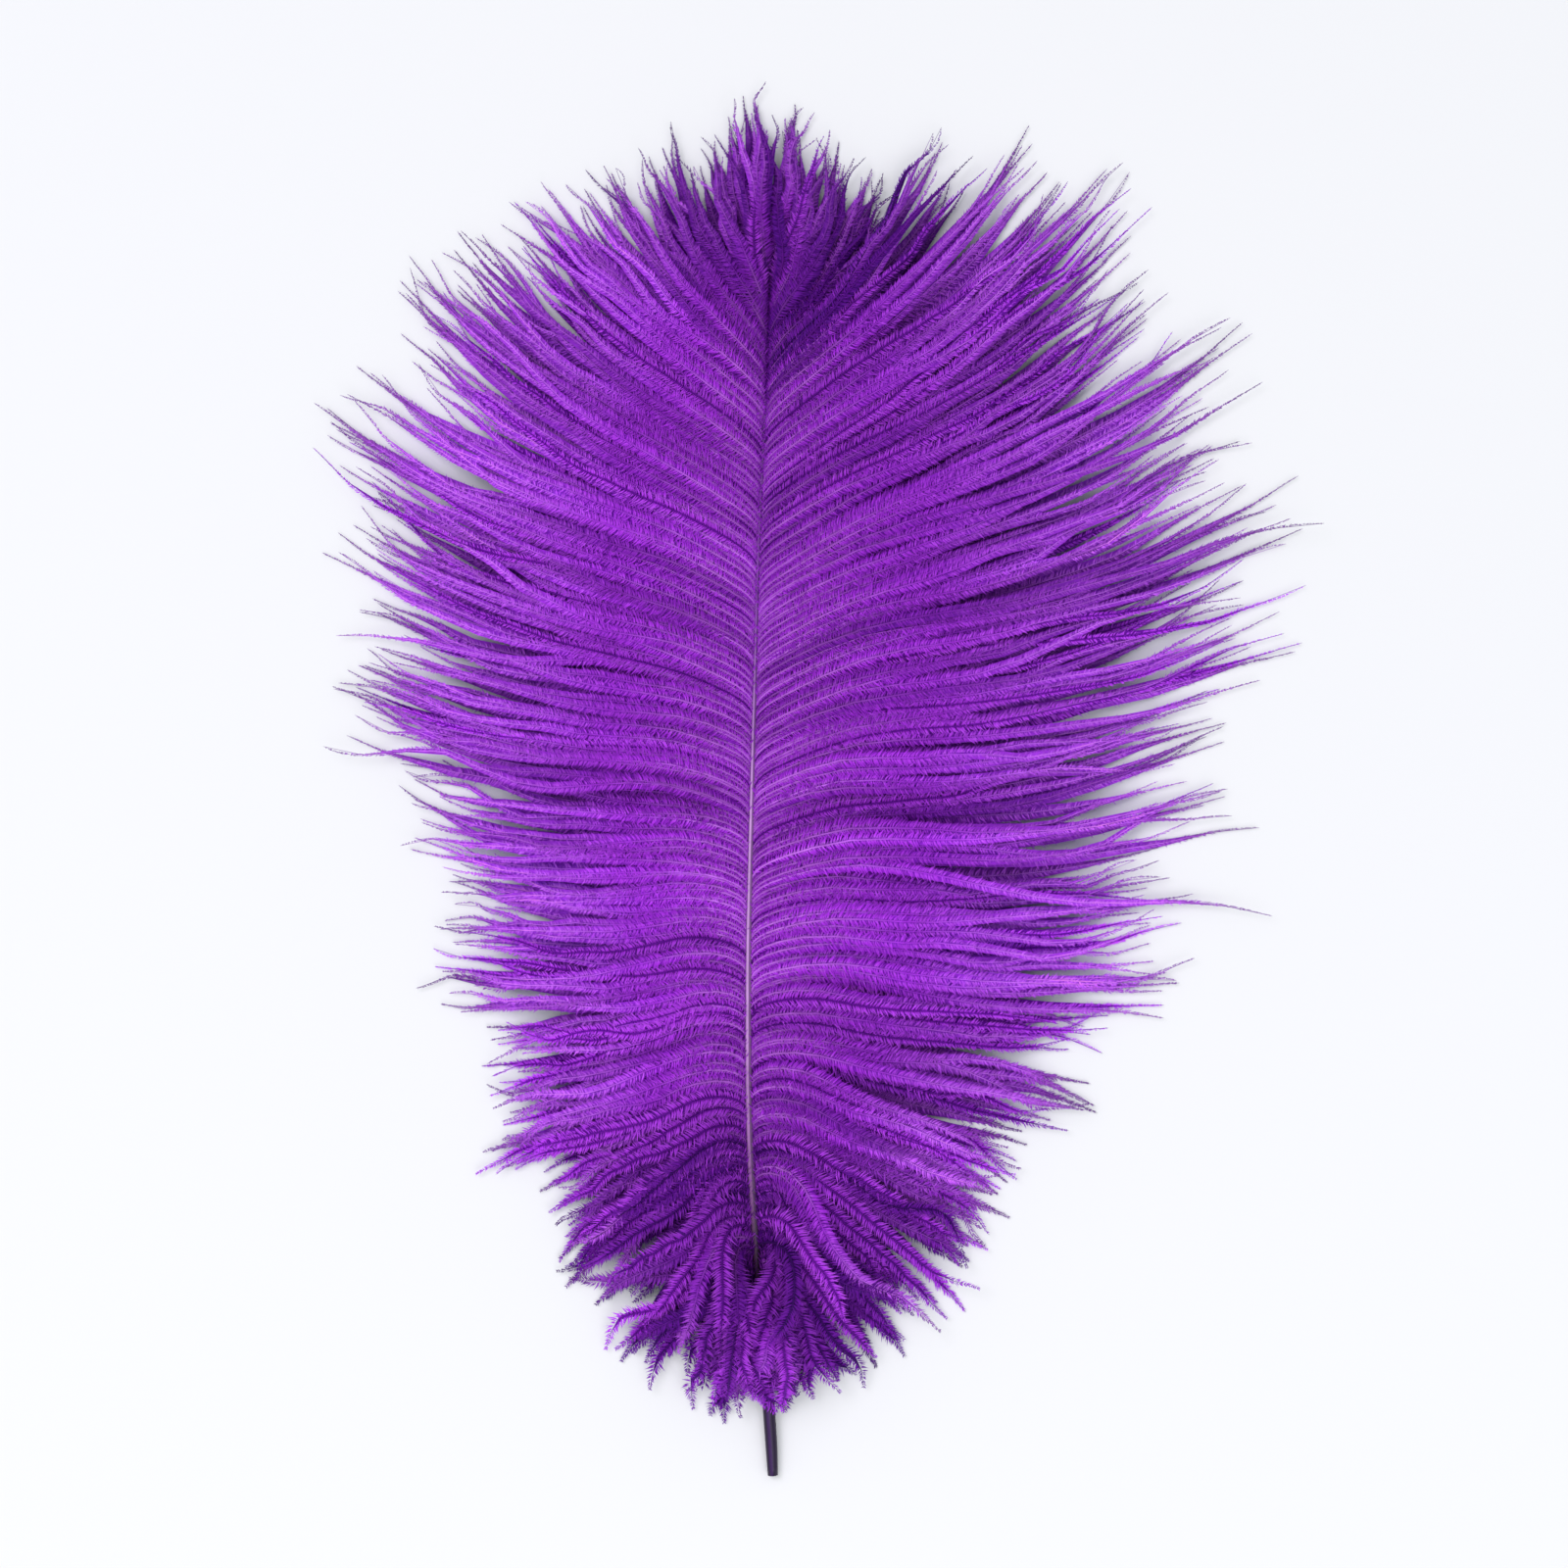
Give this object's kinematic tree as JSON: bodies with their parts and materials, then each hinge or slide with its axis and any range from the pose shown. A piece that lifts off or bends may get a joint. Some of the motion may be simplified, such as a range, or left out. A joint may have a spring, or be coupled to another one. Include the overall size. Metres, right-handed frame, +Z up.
{
  "type": "ostrich feather",
  "caption": "Large soft ostrich plume lying convex side up, with a curved shaft, a bare quill and loose drooping barbs gathered in pointed locks.",
  "frame": {"origin": "on the surface that the feather lies on, under the middle of its bounding box", "axes": "+Y from the cut end of the quill to the tip of the vane, +Z up out of the feather's convex side, +X to the right across the vane"},
  "size_m": [0.3294, 0.469, 0.0341],
  "materials": {
    "barbs": "soft violet-dyed down with a faint sheen",
    "shaft": "smooth horn, dyed dark violet at the quill and pale mauve along the vane"
  },
  "bodies": {
    "root": {"feather": "barbs"}
  },
  "joints": []
}
